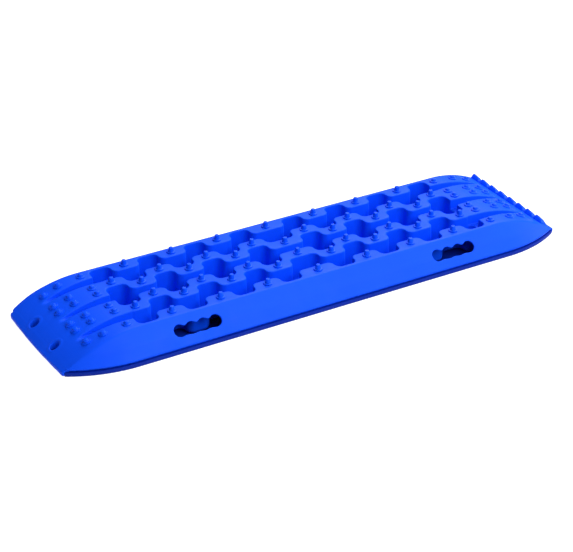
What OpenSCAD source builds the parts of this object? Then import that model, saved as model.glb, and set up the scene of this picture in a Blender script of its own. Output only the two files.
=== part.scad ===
// Vehicle recovery and traction board.
// The long axis is X, the toothed end is at +X and the board rests on Z = 0.
// The upper moulding is a corrugated shell that is open below. It sits on a
// base frame, and screwed-in studs and end teeth stand on it.

/* [Board] */
// Overall length of the board
board_l = 1072; // [1068:1:1076]
// Overall width of the board
board_w = 308; // [304:1:312]
// Height of the flat deck above the ground
deck_h = 58.5; // [56:0.5:61]
// Wall thickness of the upper moulding
wall = 4; // [3:0.5:4]

/* [Outline] */
// Half the length over which the long sides run straight
side_straight = 400; // [395:1:405]
// Radius of the long sides where they curve in to the corners
side_r = 250; // [240:5:270]
// Radius of the slightly bowed ends
end_r = 2000; // [1800:50:2400]
// Thickness of the deck's lip over the end of the base frame
end_lip = 4; // [3:0.5:5]
// Height of the lower edge of that lip
end_lip_z = 1.5; // [1:0.25:2]

/* [Ramps] */
// Distance from the middle of the board to the start of each ramp
ramp_x = 387; // [384:1:390]
// Radius of the ramp surface in side view
ramp_r = 240; // [236:1:244]

/* [Sides] */
// Height of the lower edge of the sloping sides
slope_z = 16; // [15:0.5:18]
// How far the side leans in from its lower edge to the deck
slope_in = 37.5; // [36:0.5:39]
// Height up to which the side is steeper
steep_z = 36; // [34:0.5:38]
// How far the steeper part of the side leans in
steep_in = 14; // [13:0.5:15]
// Width of the solid rim under the sides
rim_w = 17; // [16:1:18]
// Depth of the shadow gap between deck and base frame
gap_d = 5; // [3:0.5:6]
// Height of the underside of the deck's edge lip
lip_z = 13; // [12:0.5:14]

/* [Base frame] */
// Height of the base frame
base_h = 8; // [7:0.5:9]
// Width of the base frame's band
base_w = 22; // [20:1:24]
// Width of each cross tie
tie_w = 26; // [22:1:30]
// Distance from the middle to each cross tie
tie_x = 386; // [384:1:390]
// Thickness of the ties and of the webs under the handle slots
tie_h = 4.5; // [4:0.25:5]
// Length of each web under a handle slot
web_l = 172; // [160:2:180]
// Distance from the middle to the inner edge of the webs
web_y = 66; // [62:1:70]

/* [Channels] */
// Offset of the channel pattern along the board
pattern_x = -4; // [-5:0.5:-3]
// Centre of the first pocket, from the middle of the pattern
first_pocket = 58; // [57:0.5:59]
// Spacing of the pockets and lobes after the first
pitch = 49.2; // [49:0.1:49.4]
// Half the length of a pocket
pocket_half = 21; // [20:0.5:21]
// Half the length of the long lobe in the middle
middle_half = 29.4; // [29:0.2:30]
// Radius of the channel corners
corner_r = 12; // [11:0.5:12]
// Height of the channel floors
floor_z = 10; // [10:0.5:12]
// Height of the shallow groove floors on the ramps
groove_z = 38.5; // [37:0.5:40]
// Distance from the middle of the pattern to the end of a groove
groove_x = 484; // [480:1:486]

/* [Handles] */
// Distance from the middle of the board to each handle slot
handle_x = 276; // [274:1:278]
// Height of the middle of each handle slot
handle_z = 37.5; // [36:0.5:39]
// Spacing of the finger lobes in a handle slot
finger_pitch = 24; // [23:0.5:25]
// Radius of a finger lobe
finger_r = 11.5; // [10:0.5:12]

/* [Mounting holes] */
// Distance from the middle of the board to the mounting holes
mount_x = 514; // [512:1:514]
// Half the spacing of the mounting holes
mount_y = 45; // [40:1:50]
// Radius of a mounting hole
mount_r = 9; // [8:0.5:10]

/* [Studs] */
// Height of a stud on the flat deck above its seat
stud_h = 10.5; // [10:0.5:12]
// Height of the lower studs on the ramps above their seats
ramp_stud_h = 6.5; // [5:0.5:8]
// Radius of the round collar of a stud
collar_r = 8.5; // [8:0.25:8.5]
// Thickness of the collar
collar_h = 2.2; // [1.8:0.1:2.5]
// Radius of the foot of the blunt cone
cone_r = 5.6; // [5:0.1:6]
// Radius of the flat top of the cone, with its rounding
tip_r = 4; // [3.5:0.1:4.5]
// Radius of the threaded shank
shank_r = 4; // [3.5:0.25:4]
// Clearance of a shank in its hole
play = 0.2; // [0.15:0.05:0.3]
// Thickness of a nut
nut_h = 6; // [5:0.5:6.5]
// Radius of a nut across its corners
nut_r = 7.5; // [7:0.1:7.5]

/* [End teeth] */
// Number of teeth on the toothed end
tooth_n = 8; // [8:1:8]
// Spacing of the teeth
tooth_pitch = 30.5; // [30:0.5:31]
// Distance from the middle of the board to the row of teeth
tooth_x = 506; // [504:1:508]
// Length of a tooth along the row
tooth_l = 26; // [22:1:26]
// Width of the foot of a tooth
tooth_w = 20; // [18:1:20]
// Height of a tooth
tooth_h = 10.5; // [8:0.5:12]

/* [Hidden] */
eps = 0.5;
blue = [0.06, 0.33, 0.95];
deep_blue = [0.03, 0.22, 0.75];
steel = [0.7, 0.72, 0.75];
half_l = board_l / 2;
half_w = board_w / 2;
columns = 7;                      // pockets and lobes on each side of the middle lobe
arc_steps = 3;                    // straight steps in a rounded channel corner
round_fn = 32;
low_lean = steep_in / (steep_z - slope_z);
top_lean = (slope_in - steep_in) / (deck_h - steep_z);
low_angle = atan(1 / low_lean);
top_angle = atan(1 / top_lean);
knee_drop = (1 / sin(top_angle) - 1 / sin(low_angle)) / (top_lean - low_lean);
crest_cut = 3.6;                  // width of the bevel along the top of the sides
strip_in = 64;                    // inner edge of a side channel
strip_out = 84;                   // outer edge of a side channel
strip_y = (strip_in + strip_out) / 2;
neck = 10;                        // half width of the middle channel at its necks
inner_reach = 37;                 // how far the middle pockets reach out
dip_reach = 38;                   // how far the side channels dip in
outer_reach = 110;                // how far the side pockets reach out
stud_rows = [393, 439, 470];      // ramp rows, from the middle of the pattern
ramp_ys = [24, 48];
border_y = 99;
rib_out_y = (inner_reach + strip_in) / 2;
rib_in_y = (neck + dip_reach) / 2;
ramp_border_ys = [98, 98, 93];
seat_r = collar_r + 0.6;
seat_depth = 8;
seat_sink = 0.4;                  // how far a level seat is sunk into the curved ramp
shank_l = seat_depth + 5;
bevel = 0.6;                      // small bevels of a stud
ridge = [-9, -5];                 // edges of a tooth's ridge, across the tooth
peak = [7, 2];                    // where the ridge's highest part lies, from the far end
near_curve = [[5, 0.75], [1, 0.35]]; // points of the near end: inset, share of the height
mount_wall = 4;
nut_play = 0.5;
screw_in = 11;                    // distance of the screws from the outer edge
thread_r = 2.4;
screw_top = 14;
head_r = 4.6;
head_z = 0.6;
recess_r = 5;
recess_d = 3.5;
screw_xs = [-460, -345, -230, -115, 0, 115, 230, 345, 460];
handle_u = 18.5;                  // distance of a handle slot from the edge, level
handle_tilt = atan((deck_h - slope_z) / slope_in);
slot_depth = 30;
slot_bar = [1, 17.25];            // straight part of a slot: inset of its edge, width
top_room = 12;                    // how far cutting shapes reach above the deck

// Height of the upper surface above the ground at a distance x along the board
function top_z(x) = let (dx = max(abs(x) - ramp_x, 0))
    deck_h - ramp_r + sqrt(ramp_r * ramp_r - dx * dx);

// Tilt of whatever stands on the ramps
function is_ramped(x) = abs(x) > ramp_x + 4;
function tilt(x) = is_ramped(x) ? sign(x) * asin((abs(x) - ramp_x) / ramp_r) : 0;

// Half width of the outline at a distance x along the board
function half_width(x) = let (dx = max(abs(x) - side_straight, 0))
    half_w - side_r + sqrt(side_r * side_r - dx * dx);

// Centre and half length of pocket or lobe number k
function column_x(k) = sign(k) * (k == 0 ? 0 : first_pocket + pitch * (abs(k) - 1));
function column_half(k) = k == 0 ? middle_half : pocket_half;

// A closed path of right-angled corners, each rounded: a corner that turns
// left gets the radius r_left and a corner that turns right gets r_right
function unit(v) = v / norm(v);
function turn(a, b) = a[0] * b[1] - a[1] * b[0];
function rounded(p, r_left, r_right) = [for (i = [0 : len(p) - 1])
    let (back = unit(p[(i + len(p) - 1) % len(p)] - p[i]), ahead = unit(p[(i + 1) % len(p)] - p[i]),
        r = turn(-back, ahead) > 0 ? r_left : r_right, c = p[i] + r * (back + ahead))
    for (s = [0 : arc_steps]) let (a = 90 * s / arc_steps) c - r * (ahead * cos(a) + back * sin(a))];

// Steps of a channel edge at y_far between two levels, for columns ks
function steps(ks, y_near, y_far, e, way) = [for (k = ks)
    let (c = column_x(k), h = (column_half(k) + e) * way)
    each [[c - h, y_near], [c - h, y_far], [c + h, y_far], [c + h, y_near]]];

// Edge of a channel whose last pocket on each side is also its end
function ended(ks, y_near, y_far, e) = let (s = steps(ks, y_near, y_far, e, -1), n = len(s))
    [for (i = [1 : n - 2]) s[i]];

odd_down = [for (k = [columns : -2 : -columns]) k];
even_up = [for (k = [1 - columns : 2 : columns - 1]) k];
channel_end = column_x(columns) + pocket_half;

function side_channel(e) = rounded(concat(
    [[-channel_end - e, strip_in - e]],
    steps(even_up, strip_in - e, dip_reach - e, e, 1),
    [[channel_end + e, strip_in - e]],
    ended(odd_down, strip_out + e, outer_reach + e, e)), corner_r + e, corner_r - e);

function middle_channel(e) = let (edge = ended(odd_down, neck + e, inner_reach + e, e))
    rounded(concat(edge, [for (p = edge) -p]), corner_r + e, corner_r - e);

module mirrored_y() {
    children();
    mirror([0, 1, 0]) children();
}

// Everything inside one long side, with the side's own section as children
module one_side() {
    for (x = [-side_straight, side_straight])
        translate([x, half_w - side_r, 0]) rotate_extrude($fn = 180) children();
    translate([0, half_w - side_r, 0]) rotate([90, 0, 90]) linear_extrude(2 * side_straight, center = true) {
        children();
        translate([-side_r, 0]) square([side_r, deck_h + top_room]);
    }
}

module both_sides() {
    intersection() {
        one_side() children();
        mirror([0, 1, 0]) one_side() children();
    }
}

// Level band of the outline, moved in by d along the sides and by e at the ends
module band(d, e, z0, z1) {
    intersection() {
        both_sides() translate([0, z0]) square([side_r - d, z1 - z0]);
        ends(e, z0, z1);
    }
}

// Space between the two bowed ends, moved in by d
module ends(d, z0, z1) {
    intersection_for (s = [-1, 1])
        translate([s * (half_l - end_r), 0, z0]) cylinder(r = end_r - d, h = z1 - z0, $fn = 360);
}

// Long side in section: an upright edge, the slope and a softened crest
module side_section(d) {
    low = side_r - d / sin(low_angle);
    top = side_r - d / sin(top_angle) - slope_in;
    knee = steep_z - d * knee_drop;
    polygon(concat(
        [[0, 0], [low, 0], [low, slope_z], [low - low_lean * (knee - slope_z), knee]],
        d > 0 ? [[top, deck_h], [top, deck_h + top_room]] : [
            [top + crest_cut * cos(top_angle), deck_h - crest_cut * sin(top_angle)],
            [top - crest_cut, deck_h],
            [top - crest_cut, deck_h + top_room]],
        [[0, deck_h + top_room]]));
}

// Board in side view: the flat deck and the two ramps
module ramp_section(d) {
    translate([0, half_w + eps, 0]) rotate([90, 0, 0]) linear_extrude(2 * half_w + 2 * eps) {
        translate([-ramp_x, -20]) square([2 * ramp_x, deck_h - d + 20]);
        intersection() {
            for (x = [-ramp_x, ramp_x])
                translate([x, deck_h - ramp_r]) circle(ramp_r - d, $fn = 360);
            translate([-half_l - eps, -20]) square([2 * half_l + 2 * eps, deck_h + 20]);
        }
    }
}

// Solid shape of the deck moulding, moved in by the wall d
module envelope(d) {
    intersection() {
        both_sides() side_section(d);
        ramp_section(d);
        ends(0, base_h, deck_h + top_room);
    }
}

// Channels and ramp grooves, grown by e and lowered by e
module channels(e) {
    translate([pattern_x, 0, 0]) {
        translate([0, 0, floor_z - e]) linear_extrude(deck_h) {
            polygon(middle_channel(e));
            polygon(side_channel(e));
            mirror([0, 1]) polygon(side_channel(e));
        }
        for (y = [-strip_y, 0, strip_y], s = [-1, 1])
            translate([s > 0 ? channel_end - corner_r : -groove_x - e, y - neck - e, groove_z - e])
                cube([groove_x - channel_end + corner_r + e, 2 * (neck + e), deck_h]);
    }
}

// Places of the studs: x, y and the height of the seat
function stud(x, y) = [x + pattern_x, y, top_z(x + pattern_x)];
function border_places(s) = concat(
    [for (k = even_up) stud(column_x(k), s * border_y)],
    [for (i = [0 : 2], e = [-1, 1]) stud(e * stud_rows[i], s * ramp_border_ys[i])]);
function rib_places(s) = [for (k = [-columns : columns])
    stud(column_x(k), s * (k % 2 == 0 ? rib_in_y : rib_out_y))];
function ramp_places(e) = [for (x = stud_rows, y = ramp_ys, s = [-1, 1]) stud(e * x, s * y)];
all_places = concat(border_places(-1), border_places(1), rib_places(-1), rib_places(1),
    ramp_places(-1), ramp_places(1));
ramped_places = [for (p = all_places) if (is_ramped(p[0])) p];
tooth_places = [for (i = [0 : tooth_n - 1])
    [tooth_x, (i - (tooth_n - 1) / 2) * tooth_pitch, top_z(tooth_x)]];

// Puts children on the surface at each place, square to it
module at(places) {
    for (p = places)
        translate(p) rotate([0, tilt(p[0]), 0]) translate([0, 0, is_ramped(p[0]) ? -seat_sink : 0]) children();
}

// Flat seats for the studs and teeth that stand on the ramps
module seat_bosses() {
    at(ramped_places) translate([0, 0, -seat_depth]) cylinder(r = seat_r, h = seat_depth, $fn = round_fn);
    at(tooth_places) translate([-tooth_w / 2, -tooth_l / 2, -seat_depth])
        cube([tooth_w, tooth_l, seat_depth]);
}

module seat_cuts() {
    at(ramped_places) cylinder(r = seat_r, h = stud_h, $fn = round_fn);
    at(tooth_places) translate([-tooth_w / 2, -tooth_l / 2, 0]) cube([tooth_w, tooth_l, tooth_h]);
}

module shank_holes() {
    at(concat(all_places, tooth_places)) translate([0, 0, -shank_l - 1])
        cylinder(r = shank_r + play, h = shank_l + 2, $fn = round_fn);
}

// Finger slot through the side: four overlapping round lobes
module finger_slot() {
    translate([0, -half_w + handle_u, handle_z]) rotate([handle_tilt, 0, 0])
        translate([0, 0, -slot_depth / 2]) {
            for (i = [-1.5 : 1.5])
                translate([i * finger_pitch, 0, 0]) cylinder(r = finger_r, h = slot_depth, $fn = 48);
            translate([-1.5 * finger_pitch, -finger_r + slot_bar[0], 0])
                cube([3 * finger_pitch, slot_bar[1], slot_depth]);
        }
}

module finger_slots() {
    mirrored_y() for (x = [-handle_x, handle_x]) translate([x, 0, 0]) finger_slot();
}

module at_mounts() {
    for (y = [-mount_y, mount_y]) translate([-mount_x, y, 0]) children();
}

module at_screws() {
    for (x = screw_xs, s = [-1, 1])
        translate([x, s * (half_width(x) - screw_in), 0]) children();
}

// Rim that the deck rests and is screwed down on
module deck_rim() {
    difference() {
        band(0, 0, base_h, slope_z);
        band(rim_w, rim_w, base_h - eps, slope_z + eps);
    }
}

// Lips that reach down over the ends of the base frame
module end_lips() {
    intersection() {
        difference() {
            band(0, 0, end_lip_z, base_h);
            ends(end_lip, end_lip_z - eps, base_h + eps);
        }
        ramp_section(0);
    }
}

// Room for the nuts of the end teeth beside the mounting holes
module nut_room() {
    at(tooth_places) translate([0, 0, -shank_l - 2])
        cylinder(r = nut_r + nut_play, h = shank_l + 2 - seat_depth, $fn = round_fn);
}

// Shadow gap that runs along the sides under the edge lip, up to the end lips
module side_gap() {
    difference() {
        translate([end_lip - half_l, -half_w - eps, base_h])
            cube([board_l - 2 * end_lip, board_w + 2 * eps, lip_z - base_h]);
        both_sides() translate([0, base_h - 2]) square([side_r - gap_d, lip_z]);
    }
}

module deck_shell() {
    color(blue) difference() {
        intersection() {
            union() {
                difference() {
                    envelope(0);
                    difference() {
                        translate([0, 0, -eps]) envelope(wall);
                        channels(wall);
                    }
                }
                deck_rim();
                end_lips();
                seat_bosses();
                at_mounts() translate([0, 0, base_h]) cylinder(r = mount_r + mount_wall, h = deck_h, $fn = 48);
            }
            union() {
                envelope(0);
                end_lips();
            }
        }
        channels(0);
        side_gap();
        seat_cuts();
        shank_holes();
        nut_room();
        finger_slots();
        at_mounts() translate([0, 0, -1]) cylinder(r = mount_r, h = deck_h, $fn = 48);
        at_screws() translate([0, 0, base_h - 1])
            cylinder(r = thread_r + play, h = screw_top + play - base_h + 1, $fn = round_fn);
    }
}

// Flat webs that close the base frame below the handle slots
module handle_webs() {
    mirrored_y() for (x = [-handle_x, handle_x])
        translate([x - web_l / 2, web_y, 0]) cube([web_l, half_w - web_y, tie_h]);
}

module base_frame() {
    color(deep_blue) difference() {
        union() {
            difference() {
                band(0, end_lip, 0, base_h);
                band(base_w, base_w, -eps, base_h + eps);
            }
            intersection() {
                band(base_w - 2, base_w - 2, 0, tie_h);
                union() {
                    for (x = [-tie_x, tie_x])
                        translate([x - tie_w / 2, -half_w, 0]) cube([tie_w, board_w, tie_h]);
                    handle_webs();
                }
            }
            intersection() {
                band(end_lip, end_lip, 0, base_h);
                at_mounts() cylinder(r = mount_r + mount_wall, h = base_h, $fn = 48);
            }
        }
        at_mounts() translate([0, 0, -1]) cylinder(r = mount_r, h = base_h + 2, $fn = 48);
        at_screws() {
            translate([0, 0, -1]) cylinder(r = thread_r + 2 * play, h = base_h + 2, $fn = round_fn);
            translate([0, 0, -1]) cylinder(r = recess_r, h = recess_d + 1, $fn = round_fn);
        }
    }
}

module frame_screws() {
    color(steel) at_screws() rotate_extrude($fn = round_fn)
        polygon([[0, head_z], [head_r - bevel, head_z], [head_r, head_z + bevel], [head_r, recess_d],
            [thread_r, recess_d], [thread_r, screw_top - 1], [thread_r - 1, screw_top], [0, screw_top]]);
}

// One stud of height h: collar, blunt cone, and the shank that holds it
module one_stud(h) {
    rotate_extrude($fn = round_fn) polygon([[0, -shank_l], [shank_r - bevel, -shank_l],
        [shank_r, -shank_l + bevel], [shank_r, 0], [collar_r, 0], [collar_r, collar_h - bevel],
        [collar_r - bevel, collar_h], [cone_r, collar_h], [tip_r, h - bevel], [tip_r - bevel, h], [0, h]]);
}

// Studs at their places: tall ones on the flat deck, lower ones on the ramps
module studs(places) {
    at([for (p = places) if (abs(p[0]) < ramp_x) p]) one_stud(stud_h);
    at([for (p = places) if (abs(p[0]) >= ramp_x) p]) one_stud(ramp_stud_h);
}

module near_border_studs() {
    color(blue) studs(border_places(-1));
}

module far_border_studs() {
    color(blue) studs(border_places(1));
}

module near_rib_studs() {
    color(blue) studs(rib_places(-1));
}

module far_rib_studs() {
    color(blue) studs(rib_places(1));
}

module left_ramp_studs() {
    color(blue) studs(ramp_places(-1));
}

module right_ramp_studs() {
    color(blue) studs(ramp_places(1));
}

// One tooth: a low wedge with its ridge across the board, curved down at its near end
module one_tooth() {
    intersection() {
        translate([0, tooth_l / 2, 0]) rotate([90, 0, 0]) linear_extrude(tooth_l)
            polygon([[-tooth_w / 2, 0], [tooth_w / 2, 0], [ridge[1], tooth_h], [ridge[0], tooth_h]]);
        translate([-tooth_w, 0, 0]) rotate([90, 0, 90]) linear_extrude(2 * tooth_w)
            polygon(concat(
                [[-tooth_l / 2, 0], [tooth_l / 2, 0]],
                [for (t = [peak[1], peak[0]]) [tooth_l / 2 - t, tooth_h]],
                [for (t = near_curve) [t[0] - tooth_l / 2, t[1] * tooth_h]]));
    }
    translate([0, 0, -shank_l]) cylinder(r = shank_r, h = shank_l, $fn = round_fn);
}

module end_teeth() {
    color(blue) at(tooth_places) one_tooth();
}

// Nuts that hold the studs from below, under a seat of thickness t
module nuts(places, t) {
    at(places) translate([0, 0, -t - nut_h]) difference() {
        cylinder(r = nut_r, h = nut_h, $fn = 6);
        translate([0, 0, -1]) cylinder(r = shank_r + play / 2, h = nut_h + 2, $fn = round_fn);
    }
}

function on_deck(places) = [for (p = places) if (!is_ramped(p[0])) p];

module border_stud_nuts() {
    color(steel) nuts(on_deck(concat(border_places(-1), border_places(1))), wall);
}

module rib_stud_nuts() {
    color(steel) nuts(concat(rib_places(-1), rib_places(1)), wall);
}

module ramp_stud_nuts() {
    color(steel) {
        nuts(ramped_places, seat_depth);
        nuts(on_deck(concat(ramp_places(-1), ramp_places(1))), wall);
    }
}

module tooth_nuts() {
    color(steel) nuts(tooth_places, seat_depth);
}

deck_shell();
base_frame();
frame_screws();
near_border_studs();
far_border_studs();
near_rib_studs();
far_rib_studs();
left_ramp_studs();
right_ramp_studs();
end_teeth();
border_stud_nuts();
rib_stud_nuts();
ramp_stud_nuts();
tooth_nuts();
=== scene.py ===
"""Looks of the vehicle traction board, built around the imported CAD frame.

Mesh code works in millimetres in the row frame and is scaled to metres when a mesh is made.
"""
import math

import bmesh
import bpy
import numpy as np
from mathutils import Matrix, Vector


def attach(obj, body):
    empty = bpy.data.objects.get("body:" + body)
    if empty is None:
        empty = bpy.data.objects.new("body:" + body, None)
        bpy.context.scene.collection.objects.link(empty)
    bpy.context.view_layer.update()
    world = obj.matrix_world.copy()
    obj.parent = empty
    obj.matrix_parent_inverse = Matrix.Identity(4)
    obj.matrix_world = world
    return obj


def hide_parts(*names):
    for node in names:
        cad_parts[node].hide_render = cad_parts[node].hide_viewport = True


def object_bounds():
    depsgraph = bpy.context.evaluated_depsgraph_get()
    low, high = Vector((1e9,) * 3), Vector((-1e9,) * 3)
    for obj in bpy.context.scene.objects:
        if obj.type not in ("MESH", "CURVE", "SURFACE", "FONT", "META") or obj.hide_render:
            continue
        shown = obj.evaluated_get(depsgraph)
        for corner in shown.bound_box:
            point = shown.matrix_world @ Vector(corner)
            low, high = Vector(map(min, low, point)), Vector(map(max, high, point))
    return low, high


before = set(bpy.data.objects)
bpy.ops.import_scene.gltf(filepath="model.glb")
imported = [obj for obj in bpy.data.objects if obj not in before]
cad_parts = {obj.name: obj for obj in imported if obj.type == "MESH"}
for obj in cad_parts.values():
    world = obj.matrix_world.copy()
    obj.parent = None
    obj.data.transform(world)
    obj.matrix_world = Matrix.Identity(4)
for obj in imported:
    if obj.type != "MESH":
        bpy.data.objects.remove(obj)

CAD_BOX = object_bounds()
MM = 0.001

# Board, in millimetres. Most of these measures are the CAD source's; the rest shape only the visual model.
HALF_L, HALF_W, DECK_H, WALL = 536.0, 154.0, 58.5, 4.0
SIDE_STRAIGHT, SIDE_R, END_R = 400.0, 250.0, 2000.0
RAMP_X, RAMP_R = 387.0, 240.0
SLOPE_Z, SLOPE_IN = 16.0, 37.5
RIM_W, GAP_D, LIP_Z = 17.0, 5.0, 13.0
BASE_H, BASE_W, TIE_X, TIE_W, TIE_H = 8.0, 22.0, 386.0, 26.0, 4.5
# Webs of the base frame under the finger slots: a dark navy sheet put there as painted shade seen through
# the slots.
SLOT_SHADE_WEB_L, SLOT_SHADE_WEB_Y = 172.0, 66.0
END_LIP, END_LIP_Z = 4.0, 1.5
PATTERN_X, FIRST_POCKET, PITCH = -4.0, 58.0, 49.2
POCKET_HALF, MIDDLE_HALF, CORNER_R = 21.0, 29.4, 12.0
FLOOR_Z, GROOVE_Z, GROOVE_X, GROOVE_TIP = 10.0, 38.5, 484.0, 3.5
CHANNEL_DRAFT, GROOVE_DRAFT = 0.025, 0.05
# Lowest level of the shell, and how far in from the outline that starts.
UNDERSIDE_Z, UNDERSIDE_IN = 5.5, 28.0
STRIP_IN, STRIP_OUT, NECK = 64.0, 84.0, 10.0
INNER_REACH, DIP_REACH, OUTER_REACH = 37.0, 38.0, 110.0
COLUMNS = 7
HANDLE_X, HANDLE_U, HANDLE_Z = 276.0, 18.5, 37.5
FINGER_PITCH, FINGER_R = 24.0, 11.5
SLOT_BAR_MIDDLE, SLOT_BAR_HALF, SLOT_REACH = -1.875, 8.625, 14.0
MOUNT_X, MOUNT_Y, MOUNT_R = 514.0, 45.0, 9.0
STUD_ROWS, RAMP_YS, BORDER_Y = (393.0, 439.0, 470.0), (24.0, 48.0), 99.0
STUD_H, RAMP_STUD_H = 10.5, 6.5
SHANK_R, SHANK_L, COLLAR_R, COLLAR_H, CONE_R, TIP_R = 4.0, 13.0, 8.5, 2.2, 5.6, 4.0
RAMP_BORDER_YS = (98.0, 98.0, 93.0)
SEAT_R, SEAT_DEPTH, SEAT_SINK = 9.1, 8.0, 0.4
TOOTH_N, TOOTH_PITCH, TOOTH_X = 8, 30.5, 506.0
TOOTH_L, TOOTH_W, TOOTH_H, TOOTH_EDGE_R = 26.0, 20.0, 10.5, 1.3
SCREW_XS, SCREW_IN = (-460, -345, -230, -115, 0, 115, 230, 345, 460), 11.0
RECESS_R, RECESS_D = 5.0, 3.5

# Radii of the roundings of the moulded pieces
CREST_R, KNEE_R, OUTLINE_R, EDGE_R, FILLET_R = 9.0, 40.0, 3.0, 2.2, 2.0
FLOOR_R, GROOVE_R, GROOVE_TIP_R, SLOT_EDGE_R, HOLE_EDGE_R = 5.0, 2.0, 3.0, 1.6, 1.4

# Two-part sides, and the angles of both parts and of the finger slots
STEEP_Z, STEEP_IN = 36.0, 14.0
SLOPE = math.atan2(DECK_H - STEEP_Z, SLOPE_IN - STEEP_IN)
STEEP = math.atan2(STEEP_Z - SLOPE_Z, STEEP_IN)
HANDLE_TILT = math.atan2(DECK_H - SLOPE_Z, SLOPE_IN)
CHANNEL_END = FIRST_POCKET + PITCH * (COLUMNS - 1) + POCKET_HALF
CORNER_LEAN = 0.62  # cosine between the normals of a side and an end, at the corners


# ---------------------------------------------------------------- fields
def rmax(a, b, r):
    """Both at once, with their shared edge rounded to radius r."""
    return np.hypot(np.maximum(a + r, 0), np.maximum(b + r, 0)) + np.minimum(np.maximum(a, b), -r)


def rmin(a, b, r):
    """Either one, with a fillet of radius r where they meet."""
    return -rmax(-a, -b, r)


def wedge(a, b, r, lean):
    """Both at once, with their shared edge rounded to r, where the cosine between their normals is lean."""
    p, q = a + r, b + r
    edge = (p > lean * q) & (q > lean * p) & (p + q > 0)
    arc = np.sqrt(np.maximum(p * p + q * q - 2 * lean * p * q, 0)) / np.sqrt(1 - lean * lean) - r
    return np.where(edge, arc, np.maximum(a, b))


def top_z(x):
    dx = max(abs(x) - RAMP_X, 0.0)
    return DECK_H - RAMP_R + math.sqrt(RAMP_R ** 2 - dx * dx)


def half_width(x):
    dx = max(abs(x) - SIDE_STRAIGHT, 0.0)
    return HALF_W - SIDE_R + math.sqrt(SIDE_R ** 2 - dx * dx)


def column_x(k):
    return 0.0 if k == 0 else math.copysign(FIRST_POCKET + PITCH * (abs(k) - 1), k)


def tilt(x):
    """Tilt of whatever stands on the ramps, about Y."""
    return math.copysign(math.asin((abs(x) - RAMP_X) / RAMP_R), x) if abs(x) > RAMP_X + 4 else 0.0


def side_in(x, y):
    """Level distance in from the curved long sides."""
    return SIDE_R - np.hypot(np.maximum(abs(x) - SIDE_STRAIGHT, 0), abs(y) + SIDE_R - HALF_W)


def end_in(x, y):
    """Level distance in from the slightly bowed ends."""
    return END_R - np.hypot(abs(x) + END_R - HALF_L, y)


def plan_out(x, y):
    """Level distance out from the board's outline, with its corners rounded."""
    return wedge(-side_in(x, y), -end_in(x, y), OUTLINE_R, CORNER_LEAN)


def rounded_path(points, r, steps=7):
    """A closed path of right-angled corners, each rounded to radius r."""
    p = [np.array(q, float) for q in points]
    out = []
    for i, c in enumerate(p):
        back, ahead = p[i - 1] - c, p[(i + 1) % len(p)] - c
        back, ahead = back / np.linalg.norm(back), ahead / np.linalg.norm(ahead)
        centre = c + r * (back + ahead)
        for s in range(steps + 1):
            a = math.pi / 2 * s / steps
            out.append(centre - r * (ahead * math.cos(a) + back * math.sin(a)))
    return np.array(out)


def steps_along(ks, near, far, way):
    out = []
    for k in ks:
        c, h = column_x(k), (MIDDLE_HALF if k == 0 else POCKET_HALF) * way
        out += [(c - h, near), (c - h, far), (c + h, far), (c + h, near)]
    return out


def side_channel_path():
    evens = range(1 - COLUMNS, COLUMNS, 2)
    odds = range(COLUMNS, -COLUMNS - 1, -2)
    corners = [(-CHANNEL_END, STRIP_IN)] + steps_along(evens, STRIP_IN, DIP_REACH, 1)
    corners += [(CHANNEL_END, STRIP_IN)] + steps_along(odds, STRIP_OUT, OUTER_REACH, -1)[1:-1]
    return rounded_path(corners, CORNER_R)


def middle_channel_path():
    edge = steps_along(range(COLUMNS, -COLUMNS - 1, -2), NECK, INNER_REACH, -1)[1:-1]
    return rounded_path(edge + [(-x, -y) for x, y in edge], CORNER_R)


def path_distance(path, px, py):
    """Signed level distance to a closed path, below 0 inside it."""
    a, b = path, np.roll(path, -1, axis=0)
    best = np.full(px.shape, 1e9, np.float32)
    inside = np.zeros(px.shape, bool)
    for (ax, ay), (bx, by) in zip(a, b):
        ex, ey = bx - ax, by - ay
        t = np.clip(((px - ax) * ex + (py - ay) * ey) / (ex * ex + ey * ey), 0, 1)
        np.minimum(best, (px - ax - t * ex) ** 2 + (py - ay - t * ey) ** 2, out=best)
        if (ay > by) != (ay < by):
            cross = ((ay > py) != (by > py)) & (px < ex * (py - ay) / ey + ax)
            inside ^= cross
    best = np.sqrt(best)
    return np.where(inside, -best, best)


def channel_distance(x, y):
    """Signed level distance to the nearest of the three channels."""
    px, py = np.broadcast_arrays(x[:, :, 0] - PATTERN_X, y[:, :, 0])
    px, py = px.astype(np.float32), py.astype(np.float32)
    near = path_distance(side_channel_path(), px, abs(py))
    middle = path_distance(middle_channel_path(), px, py)
    return np.minimum(near, middle)[:, :, None]


def stud_places():
    def stud(x, y):
        return x + PATTERN_X, y, top_z(x + PATTERN_X)

    groups = {}
    evens = range(1 - COLUMNS, COLUMNS, 2)
    for name, s in (("near", -1), ("far", 1)):
        groups[name + "_border_studs"] = [stud(column_x(k), s * BORDER_Y) for k in evens] + [
            stud(e * STUD_ROWS[i], s * RAMP_BORDER_YS[i]) for i in range(3) for e in (-1, 1)]
        groups[name + "_rib_studs"] = [
            stud(column_x(k), s * (NECK + DIP_REACH if k % 2 == 0 else INNER_REACH + STRIP_IN) / 2)
            for k in range(-COLUMNS, COLUMNS + 1)]
    for name, e in (("left", -1), ("right", 1)):
        groups[name + "_ramp_studs"] = [
            stud(e * x, s * y) for x in STUD_ROWS for y in RAMP_YS for s in (-1, 1)]
    return groups


STUDS = stud_places()
RAMPED = [p for g in STUDS.values() for p in g if abs(p[0]) > RAMP_X + 4]
TOOTH_PLACES = [(TOOTH_X, (i - (TOOTH_N - 1) / 2) * TOOTH_PITCH, top_z(TOOTH_X)) for i in range(TOOTH_N)]


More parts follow.
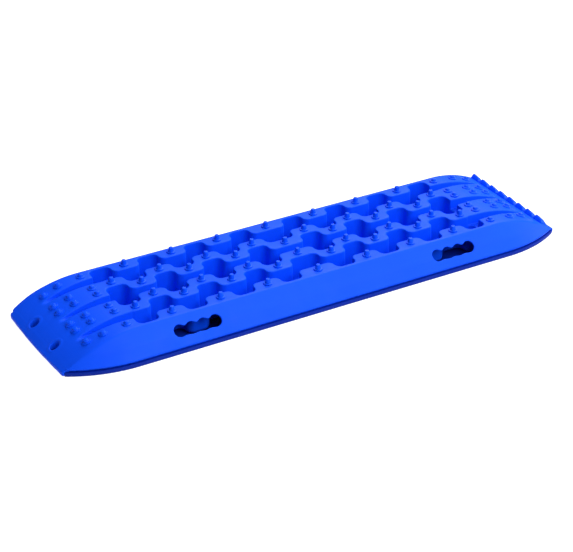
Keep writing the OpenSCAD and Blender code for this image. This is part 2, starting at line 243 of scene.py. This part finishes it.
def square_to(place, x, y, z):
    """Coordinates from a seat: across it along the board, across it otherwise, and out of it."""
    a = tilt(place[0])
    dx, dz = x - place[0], z - place[2]
    out = dx * math.sin(a) + dz * math.cos(a) + (SEAT_SINK if a else 0.0)
    return dx * math.cos(a) - dz * math.sin(a), y - place[1], out


def local(x, y, place, reach):
    """Index ranges of the samples within reach of a place."""
    i = np.searchsorted(x[:, 0, 0], (place[0] - reach, place[0] + reach))
    j = np.searchsorted(y[0, :, 0], (place[1] - reach, place[1] + reach))
    return slice(*i), slice(*j)


def deck_field(x, y, z):
    """Signed distance to the upper moulding."""
    side, plan = side_in(x, y), plan_out(x, y)
    top = np.hypot(np.maximum(abs(x) - RAMP_X, 0), z + RAMP_R - DECK_H) - RAMP_R
    slope = (STEEP_IN - side) * math.sin(SLOPE) + (z - STEEP_Z) * math.cos(SLOPE)
    steep = -side * math.sin(STEEP) + (z - SLOPE_Z) * math.cos(STEEP)
    rise = np.where(abs(x) > RAMP_X, np.clip((z + RAMP_R - DECK_H) / RAMP_R, 0.5, 1), 1.0)
    body = wedge(slope, top, CREST_R, math.cos(SLOPE) * rise)
    body = wedge(body, steep, KNEE_R, math.cos(STEEP - SLOPE))
    body = wedge(body, plan, OUTLINE_R, math.sin(STEEP))

    level = channel_distance(x, y)
    air = rmax(level + (DECK_H - z) * CHANNEL_DRAFT, FLOOR_Z - z, FLOOR_R)
    along = abs(x - PATTERN_X)
    across = np.minimum(abs(y), abs(abs(y) - (STRIP_IN + STRIP_OUT) / 2))
    taper = np.clip((GROOVE_X - along) / (GROOVE_X - CHANNEL_END), 0, 1)
    width = GROOVE_TIP + (NECK - GROOVE_TIP) * taper
    groove = rmax(across - width - (z - GROOVE_Z) * GROOVE_DRAFT, GROOVE_Z - z, GROOVE_R)
    groove = rmax(groove, np.maximum(along - GROOVE_X, CHANNEL_END - CORNER_R - along), GROOVE_TIP_R)
    air = rmin(air, groove, GROOVE_R)
    solid = rmax(body, -air, EDGE_R)
    del top, slope, air, groove

    shell = rmax(solid, -(solid + WALL), 1.2)
    rim = np.maximum(-plan - RIM_W, z - SLOPE_Z)
    shell = rmax(rmin(shell, rim, FILLET_R), body, 0.6)
    for place in RAMPED + TOOTH_PLACES:
        i, j = local(x, y, place, TOOTH_L)
        u, v, out = square_to(place, x[i], y[:, j], z)
        if place in RAMPED:
            reach = np.hypot(u, v) - SEAT_R
        else:
            reach = np.maximum(abs(u) - TOOTH_W / 2, abs(v) - TOOTH_L / 2)
        boss = np.maximum(rmax(reach, -SEAT_DEPTH - out, 1.0), solid[i, j])
        shell[i, j] = np.minimum(shell[i, j], boss)
    for s in (-1, 1):
        i, j = local(x, y, (-MOUNT_X, s * MOUNT_Y), MOUNT_R + 14)
        reach = np.hypot(x[i] + MOUNT_X, y[:, j] - s * MOUNT_Y)
        boss = np.maximum(reach - MOUNT_R - WALL, solid[i, j])
        shell[i, j] = rmax(rmin(shell[i, j], boss, FILLET_R), MOUNT_R - reach, HOLE_EDGE_R)

    shell = rmax(shell, np.where(plan > -UNDERSIDE_IN, BASE_H, UNDERSIDE_Z) - z, 0.6)
    lip = rmax(body, end_in(x, y) - END_LIP, 0.5)
    shell = rmin(shell, rmax(lip, END_LIP_Z - z, 1.0), 0.3)
    from_end = end_in(x, y) - END_LIP
    gap_depth = GAP_D * np.clip(0.3 + from_end / 14, 0.3, 1)
    gap = np.maximum(np.maximum(side - gap_depth, -from_end), np.maximum(z - LIP_Z, BASE_H - z))
    shell = rmax(shell, -gap, 0.8)
    return rmax(shell, -slot_field(x, y, z), SLOT_EDGE_R)


def slot_field(x, y, z):
    """Signed distance to the nearest finger slot: four round lobes joined by a bar."""
    dx, dy, dz = abs(x) - HANDLE_X, abs(y) - HALF_W + HANDLE_U, z - HANDLE_Z
    up = -dy * math.cos(HANDLE_TILT) + dz * math.sin(HANDLE_TILT)
    depth = dy * math.sin(HANDLE_TILT) + dz * math.cos(HANDLE_TILT)
    lobe = abs(abs(dx) - FINGER_PITCH) - FINGER_PITCH / 2
    slot = np.hypot(lobe, up) - FINGER_R
    bar = np.maximum(abs(dx) - 1.5 * FINGER_PITCH, abs(up - SLOT_BAR_MIDDLE) - SLOT_BAR_HALF)
    return np.maximum(rmin(slot, bar, 3.0), abs(depth) - SLOT_REACH)


def base_field(x, y, z):
    """Signed distance to the base frame."""
    plan = wedge(-side_in(x, y), END_LIP - end_in(x, y), FILLET_R, CORNER_LEAN)
    ring = rmax(rmax(plan, z - BASE_H, 0.6), -z, 1.2)
    ring = rmax(ring, -plan_out(x, y) - BASE_W, 1.2)
    slab = rmax(z - TIE_H, -z, 1.0)
    tie = abs(abs(x) - TIE_X) - TIE_W / 2
    # The webs under the finger slots are a dark sheet that stands in for the shade inside the slots.
    slot_shade_web = rmax(abs(abs(x) - HANDLE_X) - SLOT_SHADE_WEB_L / 2, SLOT_SHADE_WEB_Y - abs(y), 2.0)
    tie = np.maximum(rmax(rmin(tie, slot_shade_web, 0.5), slab, 1.0), plan + BASE_W - 2)
    out = rmin(ring, tie, FILLET_R)
    for s in (-1, 1):
        i, j = local(x, y, (-MOUNT_X, s * MOUNT_Y), MOUNT_R + 14)
        reach = np.hypot(x[i] + MOUNT_X, y[:, j] - s * MOUNT_Y)
        boss = rmax(reach - MOUNT_R - WALL, rmax(z - BASE_H, -z, 1.0), 1.0)
        boss = np.maximum(boss, plan[i, j] + 1)
        out[i, j] = rmax(rmin(out[i, j], boss, FILLET_R), MOUNT_R - reach, 1.0)
    for sx in SCREW_XS:
        for s in (-1, 1):
            place = (sx, s * (half_width(sx) - SCREW_IN))
            i, j = local(x, y, place, 12)
            reach = np.hypot(x[i] - place[0], y[:, j] - place[1])
            out[i, j] = rmax(out[i, j], -np.maximum(reach - RECESS_R, z - RECESS_D), 0.4)
    return out


# ---------------------------------------------------------------- meshing
def surface_net(field, lows, cells):
    """Vertices and quads of the field's zero surface, one vertex in each crossed cell."""
    inside = field < 0
    count = np.zeros([n - 1 for n in field.shape], np.int8)
    corners = [(i, j, k) for i in (0, 1) for j in (0, 1) for k in (0, 1)]
    nx, ny, nz = count.shape
    for i, j, k in corners:
        count += inside[i:nx + i, j:ny + j, k:nz + k]
    at = np.argwhere((count > 0) & (count < 8))
    number = np.full(count.shape, -1, np.int32)
    number[tuple(at.T)] = np.arange(len(at))
    values = np.stack([field[at[:, 0] + i, at[:, 1] + j, at[:, 2] + k] for i, j, k in corners], 1)
    total, hits = np.zeros((len(at), 3)), np.zeros(len(at))
    for a in range(8):
        for b in range(a + 1, 8):
            step = np.array(corners[b]) - np.array(corners[a])
            if abs(step).sum() != 1:
                continue
            va, vb = values[:, a], values[:, b]
            cut = (va < 0) != (vb < 0)
            t = va[cut] / (va[cut] - vb[cut])
            total[cut] += np.array(corners[a]) + t[:, None] * step
            hits[cut] += 1
    vertices = (at + total / hits[:, None]) * cells + lows
    quads = []
    for axis in range(3):
        u, v = (axis + 1) % 3, (axis + 2) % 3
        first = [slice(None)] * 3
        second = [slice(None)] * 3
        first[axis], second[axis] = slice(0, -1), slice(1, None)
        for s in (first, second):
            s[u], s[v] = slice(1, -1), slice(1, -1)
        a, b = inside[tuple(first)], inside[tuple(second)]
        for way in (False, True):
            spots = np.argwhere(~a & b if way else a & ~b)
            spots[:, u] += 1
            spots[:, v] += 1
            ring = []
            for du, dv in ((0, 0), (-1, 0), (-1, -1), (0, -1)):
                cell = spots.copy()
                cell[:, u] += du
                cell[:, v] += dv
                ring.append(number[tuple(cell.T)])
            ring = np.stack(ring, 1)
            quads.append(ring[:, ::-1] if way else ring)
    return vertices, np.concatenate(quads)


def field_normals(field, lows, cells, points):
    """Directions in which the field grows, at points."""
    spot = (points - lows) / cells
    out = np.zeros_like(points)
    for axis in range(3):
        for sign in (1, -1):
            shifted = spot.copy()
            shifted[:, axis] += 0.6 * sign
            shifted = np.clip(shifted, 0, np.array(field.shape) - 1.001)
            base = shifted.astype(int)
            f = shifted - base
            value = 0.0
            for i, j, k in [(i, j, k) for i in (0, 1) for j in (0, 1) for k in (0, 1)]:
                weight = abs(1 - i - f[:, 0]) * abs(1 - j - f[:, 1]) * abs(1 - k - f[:, 2])
                value = value + weight * field[base[:, 0] + i, base[:, 1] + j, base[:, 2] + k]
            out[:, axis] += sign * value / cells[axis]
    return out / np.maximum(np.linalg.norm(out, axis=1), 1e-9)[:, None]


def raw_mesh(name, vertices, quads):
    mesh = bpy.data.meshes.new(name)
    mesh.vertices.add(len(vertices))
    mesh.vertices.foreach_set("co", (vertices * MM).astype(np.float32).ravel())
    mesh.loops.add(quads.size)
    mesh.loops.foreach_set("vertex_index", quads.astype(np.int32).ravel())
    mesh.polygons.add(len(quads))
    mesh.polygons.foreach_set("loop_start", np.arange(0, quads.size, quads.shape[1], dtype=np.int32))
    mesh.update(calc_edges=True)
    return mesh


def link(name, mesh):
    obj = bpy.data.objects.new(name, mesh)
    bpy.context.scene.collection.objects.link(obj)
    return obj


def applied(obj):
    """The object with its modifiers made part of its mesh."""
    dg = bpy.context.evaluated_depsgraph_get()
    mesh = bpy.data.meshes.new_from_object(obj.evaluated_get(dg), depsgraph=dg)
    obj.modifiers.clear()
    old, obj.data = obj.data, mesh
    bpy.data.meshes.remove(old)
    return obj


def moulded(name, field_of, lows, highs, cells, most_triangles):
    """A moulded piece from its field, thinned where it is flat, and shaded by the field."""
    lows, cells = np.array(lows, float), np.array(cells, float)
    counts = [int(math.ceil((h - l) / c)) + 1 for l, h, c in zip(lows, highs, cells)]
    axes = [(l + c * np.arange(n)).astype(np.float32) for l, c, n in zip(lows, cells, counts)]
    x, y, z = axes[0][:, None, None], axes[1][None, :, None], axes[2][None, None, :]
    field = field_of(x, y, z).astype(np.float32)
    vertices, quads = surface_net(field, lows, cells)
    obj = link(name, raw_mesh(name, vertices, quads))
    thin = obj.modifiers.new("thin", "DECIMATE")
    thin.ratio = min(1.0, most_triangles / (2 * len(quads)))
    applied(obj)
    mesh = obj.data
    co = np.zeros(len(mesh.vertices) * 3, np.float32)
    mesh.vertices.foreach_get("co", co)
    co = np.clip(co.reshape(-1, 3), CAD_BOX[0], CAD_BOX[1])
    mesh.vertices.foreach_set("co", co.ravel())
    normals = field_normals(field, lows, cells, co.astype(float) / MM)
    mesh.shade_smooth()
    mesh.normals_split_custom_set_from_vertices(normals.tolist())
    return obj


def stood(points, place):
    """Points of a piece that stands at a place, square to the surface there."""
    a = tilt(place[0])
    turn = np.array([[math.cos(a), 0, math.sin(a)], [0, 1, 0], [-math.sin(a), 0, math.cos(a)]])
    return (points - [0, 0, SEAT_SINK if a else 0]) @ turn.T + np.array(place)


def lathed(profile_at, places, turns=28):
    """Vertices and quads of the turned profiles that stand at several places."""
    angle = np.arange(turns) * 2 * math.pi / turns
    j = np.arange(turns)[None, :]
    k = (j + 1) % turns
    vertices, quads, first = [], [], 0
    for place in places:
        p = np.array(profile_at(place))
        turned = np.stack([np.outer(p[:, 0], np.cos(angle)), np.outer(p[:, 0], np.sin(angle)),
                           np.repeat(p[:, 1:2], turns, 1)], 2).reshape(-1, 3)
        i = first + np.arange(len(p) - 1)[:, None] * turns
        vertices.append(stood(turned, place))
        quads.append(np.stack([i + j, i + k, i + turns + k, i + turns + j], 2).reshape(-1, 4))
        first += len(turned)
    return np.concatenate(vertices), np.concatenate(quads)


def rounded_profile(points, radii, steps=4):
    """An open profile whose inner corners are rounded to the given radii."""
    p = [np.array(q, float) for q in points]
    out = [p[0]]
    for i in range(1, len(p) - 1):
        r = radii[i]
        back, ahead = p[i - 1] - p[i], p[i + 1] - p[i]
        lb, la = np.linalg.norm(back), np.linalg.norm(ahead)
        cut = min(r, lb * 0.49, la * 0.49)
        if cut <= 0:
            out.append(p[i])
            continue
        a, b = p[i] + back / lb * cut, p[i] + ahead / la * cut
        for s in range(steps + 1):
            t = s / steps
            out.append((1 - t) ** 2 * a + 2 * t * (1 - t) * p[i] + t * t * b)
    out.append(p[-1])
    return out


def merged(obj, distance=1e-6):
    b = bmesh.new()
    b.from_mesh(obj.data)
    bmesh.ops.remove_doubles(b, verts=b.verts, dist=distance)
    bmesh.ops.dissolve_degenerate(b, edges=b.edges, dist=distance / 10)
    bmesh.ops.recalc_face_normals(b, faces=b.faces)
    b.to_mesh(obj.data)
    b.free()
    obj.data.shade_smooth()
    return obj


# ---------------------------------------------------------------- materials
def nodes_of(name):
    material = bpy.data.materials.new(name)
    material.use_nodes = True
    tree = material.node_tree
    return material, tree, tree.nodes["Principled BSDF"]


def noise(tree, scale, detail=2.0, rough=0.5):
    n = tree.nodes.new("ShaderNodeTexNoise")
    n.inputs["Scale"].default_value = scale
    n.inputs["Detail"].default_value = detail
    n.inputs["Roughness"].default_value = rough
    where = tree.nodes.get("where") or tree.nodes.new("ShaderNodeTexCoord")
    where.name = "where"
    tree.links.new(where.outputs["Object"], n.inputs["Vector"])
    return n


def ramp(tree, source, low, high, a, b):
    """source from low to high gives a number from a to b."""
    m = tree.nodes.new("ShaderNodeMapRange")
    for key, value in (("From Min", low), ("From Max", high), ("To Min", a), ("To Max", b)):
        m.inputs[key].default_value = value
    tree.links.new(source, m.inputs["Value"])
    return m.outputs["Result"]


def nylon(name, colour, shade, rough, grain):
    """Moulded nylon: fine mould grain, faint flow marks and a slightly uneven gloss."""
    material, tree, bsdf = nodes_of(name)
    flow = noise(tree, 9.0, 4.0, 0.55)
    mix = tree.nodes.new("ShaderNodeMix")
    mix.data_type = "RGBA"
    mix.inputs["A"].default_value = (*colour, 1)
    mix.inputs["B"].default_value = (*shade, 1)
    tree.links.new(ramp(tree, flow.outputs["Fac"], 0.35, 0.75, 0.0, 1.0), mix.inputs["Factor"])
    tree.links.new(mix.outputs["Result"], bsdf.inputs["Base Color"])
    patch = noise(tree, 38.0, 3.0, 0.6)
    tree.links.new(ramp(tree, patch.outputs["Fac"], 0.3, 0.7, rough - 0.05, rough + 0.07),
                   bsdf.inputs["Roughness"])
    fine = noise(tree, 1500.0, 2.0, 0.6)
    bump = tree.nodes.new("ShaderNodeBump")
    bump.inputs["Strength"].default_value = grain
    bump.inputs["Distance"].default_value = 0.0002
    tree.links.new(fine.outputs["Fac"], bump.inputs["Height"])
    tree.links.new(bump.outputs["Normal"], bsdf.inputs["Normal"])
    bsdf.inputs["Specular IOR Level"].default_value = 0.07
    return material


def plated_steel():
    """Zinc plate: fine turning marks and dulled patches."""
    material, tree, bsdf = nodes_of("zinc_plate")
    bsdf.inputs["Metallic"].default_value = 1.0
    patch = noise(tree, 160.0, 3.0, 0.6)
    mix = tree.nodes.new("ShaderNodeMix")
    mix.data_type = "RGBA"
    mix.inputs["A"].default_value = (0.62, 0.63, 0.64, 1)
    mix.inputs["B"].default_value = (0.46, 0.47, 0.49, 1)
    tree.links.new(ramp(tree, patch.outputs["Fac"], 0.35, 0.7, 0.0, 1.0), mix.inputs["Factor"])
    tree.links.new(mix.outputs["Result"], bsdf.inputs["Base Color"])
    tree.links.new(ramp(tree, patch.outputs["Fac"], 0.3, 0.7, 0.28, 0.48), bsdf.inputs["Roughness"])
    fine = noise(tree, 2400.0, 1.0, 0.5)
    bump = tree.nodes.new("ShaderNodeBump")
    bump.inputs["Strength"].default_value = 0.15
    bump.inputs["Distance"].default_value = 0.0001
    tree.links.new(fine.outputs["Fac"], bump.inputs["Height"])
    tree.links.new(bump.outputs["Normal"], bsdf.inputs["Normal"])
    return material


BLUE, BLUE_SHADE = (0.001, 0.064, 0.77), (0.001, 0.058, 0.71)
# The base frame's navy is painted shade: the board's blue darkened to stand in for the shadow on the rim's
# lower band.
FRAME_PAINTED_SHADE_NAVY, FRAME_PAINTED_SHADE_NAVY_TONE = (0.001, 0.017, 0.25), (0.001, 0.014, 0.22)
DECK_NYLON = nylon("deck_nylon", BLUE, BLUE_SHADE, 0.5, 0.25)
FRAME_NYLON_PAINTED_SHADE = nylon("frame_nylon_painted_shade", FRAME_PAINTED_SHADE_NAVY, FRAME_PAINTED_SHADE_NAVY_TONE, 0.5, 0.25)
STUD_NYLON = nylon("stud_nylon", BLUE, BLUE_SHADE, 0.42, 0.15)
STEEL = plated_steel()


def finish_piece(obj, material, slot, *nodes):
    obj.data.materials.clear()
    obj.data.materials.append(material)
    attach(obj, "root")
    if nodes:
        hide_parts(*nodes)
    return obj


# ---------------------------------------------------------------- pieces
deck = moulded("deck_moulding", deck_field, (-540, -157.5, 0.0), (540, 157.5, 61.2),
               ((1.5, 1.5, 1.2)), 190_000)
finish_piece(deck, DECK_NYLON, "deck_plastic", "deck_shell")

# The base frame takes the navy nylon, whose dark colour is painted shade for the shadowed rim.
base = moulded("base_moulding", base_field, (-540, -157.5, -2), (540, 157.5, 10),
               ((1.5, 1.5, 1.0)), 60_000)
finish_piece(base, FRAME_NYLON_PAINTED_SHADE, "frame_plastic", "base_frame")



def stud_profile(place):
    """Shank, collar and blunt cone of the stud at a place, in section: lower on the ramps."""
    height = STUD_H if abs(place[0]) < RAMP_X else RAMP_STUD_H
    return rounded_profile(
        [(0, -SHANK_L), (SHANK_R - 0.4, -SHANK_L), (SHANK_R, 0.8 - SHANK_L), (SHANK_R, 0),
         (COLLAR_R, 0), (COLLAR_R, COLLAR_H), (CONE_R, COLLAR_H), (TIP_R, height), (0, height)],
        [0, 0, 0.3, 0, 0.2, 0.8, 0.8, 1.3, 0])


for group, places in STUDS.items():
    studs = link(group.replace("_studs", "_moulded_studs"), raw_mesh(group, *lathed(stud_profile, places)))
    finish_piece(merged(studs), STUD_NYLON, "stud_plastic", group)


def teeth():
    """Low wedges with rounded edges, steep on their inner side and curved down at their near ends."""
    b = bmesh.new()
    near, far = -TOOTH_L / 2, TOOTH_L / 2
    # Height of a level, then the two edges across the tooth and the two along the row
    levels = [(0, -TOOTH_W / 2, TOOTH_W / 2, near, far),
              (0.35 * TOOTH_H, -9.65, 4.75, near + 1, far - 0.7),
              (0.75 * TOOTH_H, -9.25, -1.25, near + 5, far - 1.5),
              (TOOTH_H, -9, -5, far - 7, far - 2)]
    corners = np.array([(x, y, h) for h, x0, x1, y0, y1 in levels for x in (x0, x1) for y in (y0, y1)])
    for place in TOOTH_PLACES:
        points = [b.verts.new(p) for p in stood(corners, place) * MM]
        bmesh.ops.convex_hull(b, input=points)
    bmesh.ops.dissolve_limit(b, angle_limit=0.01, verts=b.verts, edges=b.edges)
    mesh = bpy.data.meshes.new("end_teeth_wedges")
    b.to_mesh(mesh)
    b.free()
    obj = link("end_teeth_wedges", mesh)
    bevel = obj.modifiers.new("bevel", "BEVEL")
    bevel.width = TOOTH_EDGE_R * MM
    bevel.segments = 4
    bevel.limit_method = "NONE"
    applied(obj)
    obj.data.shade_smooth()
    return obj


finish_piece(teeth(), STUD_NYLON, "stud_plastic", "end_teeth")

# Screws and nuts stay as the CAD has them
for name in ("frame_screws", "border_stud_nuts", "rib_stud_nuts", "ramp_stud_nuts", "tooth_nuts"):
    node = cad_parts[name]
    node.data.materials.clear()
    node.data.materials.append(STEEL)

# ---------------------------------------------------------------- stage
def sum_of(tree, kind, a, b=0.0):
    """One step of arithmetic between sockets or numbers."""
    m = tree.nodes.new("ShaderNodeMath")
    m.operation = kind
    for socket, value in zip(m.inputs, (a, b)):
        if isinstance(value, (int, float)):
            socket.default_value = value
        else:
            tree.links.new(value, socket)
    return m.outputs[0]


def outside_board(tree):
    """How far a point of the floor lies outside the board's outline, in metres."""
    where = tree.nodes.new("ShaderNodeTexCoord")
    split = tree.nodes.new("ShaderNodeSeparateXYZ")
    tree.links.new(where.outputs["Object"], split.inputs[0])
    along = sum_of(tree, "ABSOLUTE", split.outputs["X"])
    across = sum_of(tree, "ABSOLUTE", split.outputs["Y"])
    dx = sum_of(tree, "MAXIMUM", sum_of(tree, "SUBTRACT", along, SIDE_STRAIGHT * MM), 0.0)
    square = sum_of(tree, "SUBTRACT", (SIDE_R * MM) ** 2, sum_of(tree, "MULTIPLY", dx, dx))
    side = sum_of(tree, "SUBTRACT", sum_of(tree, "ADD", across, (SIDE_R - HALF_W) * MM),
                  sum_of(tree, "SQRT", square))
    return sum_of(tree, "MAXIMUM", side, sum_of(tree, "SUBTRACT", along, HALF_L * MM))


def floor():
    """A pale sheet that gives off light wherever the board doesn't cover it."""
    mesh = bpy.data.meshes.new("floor")
    mesh.from_pydata([(-9, -9, 0), (9, -9, 0), (9, 9, 0), (-9, 9, 0)], [], [(0, 1, 2, 3)])
    obj = link("floor", mesh)
    material, tree, bsdf = nodes_of("pale_floor")
    bsdf.inputs["Base Color"].default_value = (0.3, 0.3, 0.3, 1)
    bsdf.inputs["Roughness"].default_value = 0.9
    bsdf.inputs["Specular IOR Level"].default_value = 0.0
    bsdf.inputs["Emission Color"].default_value = (1, 1, 1, 1)
    glow = ramp(tree, outside_board(tree), -0.012, -0.006, 0.0, 0.95)
    tree.links.new(glow, bsdf.inputs["Emission Strength"])
    mesh.materials.append(material)
    return obj


def soft_light(name, place, power, size=2.4):
    """Large round light that faces the board."""
    data = bpy.data.lights.new(name, "AREA")
    data.shape = "DISK"
    data.size = size
    data.energy = power
    obj = bpy.data.objects.new(name, data)
    bpy.context.scene.collection.objects.link(obj)
    obj.location = place
    obj.rotation_euler = (-Vector(place)).to_track_quat("-Z", "Y").to_euler()
    return obj


def camera(azimuth, elevation, roll, lens, tx, ty, distance):
    """Camera from its angles in degrees; tx, ty and distance are in millimetres."""
    a, e, r = (math.radians(v) for v in (azimuth, elevation, roll))
    back = Vector((math.sin(a) * math.cos(e), -math.cos(a) * math.cos(e), math.sin(e)))
    level = Vector((math.cos(a), math.sin(a), 0))
    rise = back.cross(level)
    right = math.cos(r) * level + math.sin(r) * rise
    up = math.cos(r) * rise - math.sin(r) * level
    data = bpy.data.cameras.new("camera")
    data.sensor_width = 36.0
    data.lens = lens
    data.clip_start, data.clip_end = 0.05, 50
    obj = bpy.data.objects.new("camera", data)
    bpy.context.scene.collection.objects.link(obj)
    at = (-tx * right - ty * up + distance * back) * MM
    obj.matrix_world = Matrix.Translation(at) @ Matrix((right, up, back)).transposed().to_4x4()
    bpy.context.scene.camera = obj
    return obj


floor()
camera(-30.115, 29.294, -0.09, 113.63435, 12.405, 4.317, 3465.63)
for name, place, power in (("back_right", (1.6, 1.6, 2.6), 143),
                           ("low_right", (3.0, -1.0, 1.2), 74),
                           ("front", (0.6, -2.4, 2.4), 118),
                           ("left", (-2.4, -0.6, 2.2), 16)):
    soft_light(name, place, power)

world = bpy.data.worlds.new("studio")
bpy.context.scene.world = world
world.use_nodes = True
world.node_tree.nodes["Background"].inputs["Color"].default_value = (1, 1, 1, 1)
world.node_tree.nodes["Background"].inputs["Strength"].default_value = 0.1
bpy.context.scene.view_settings.view_transform = "Standard"
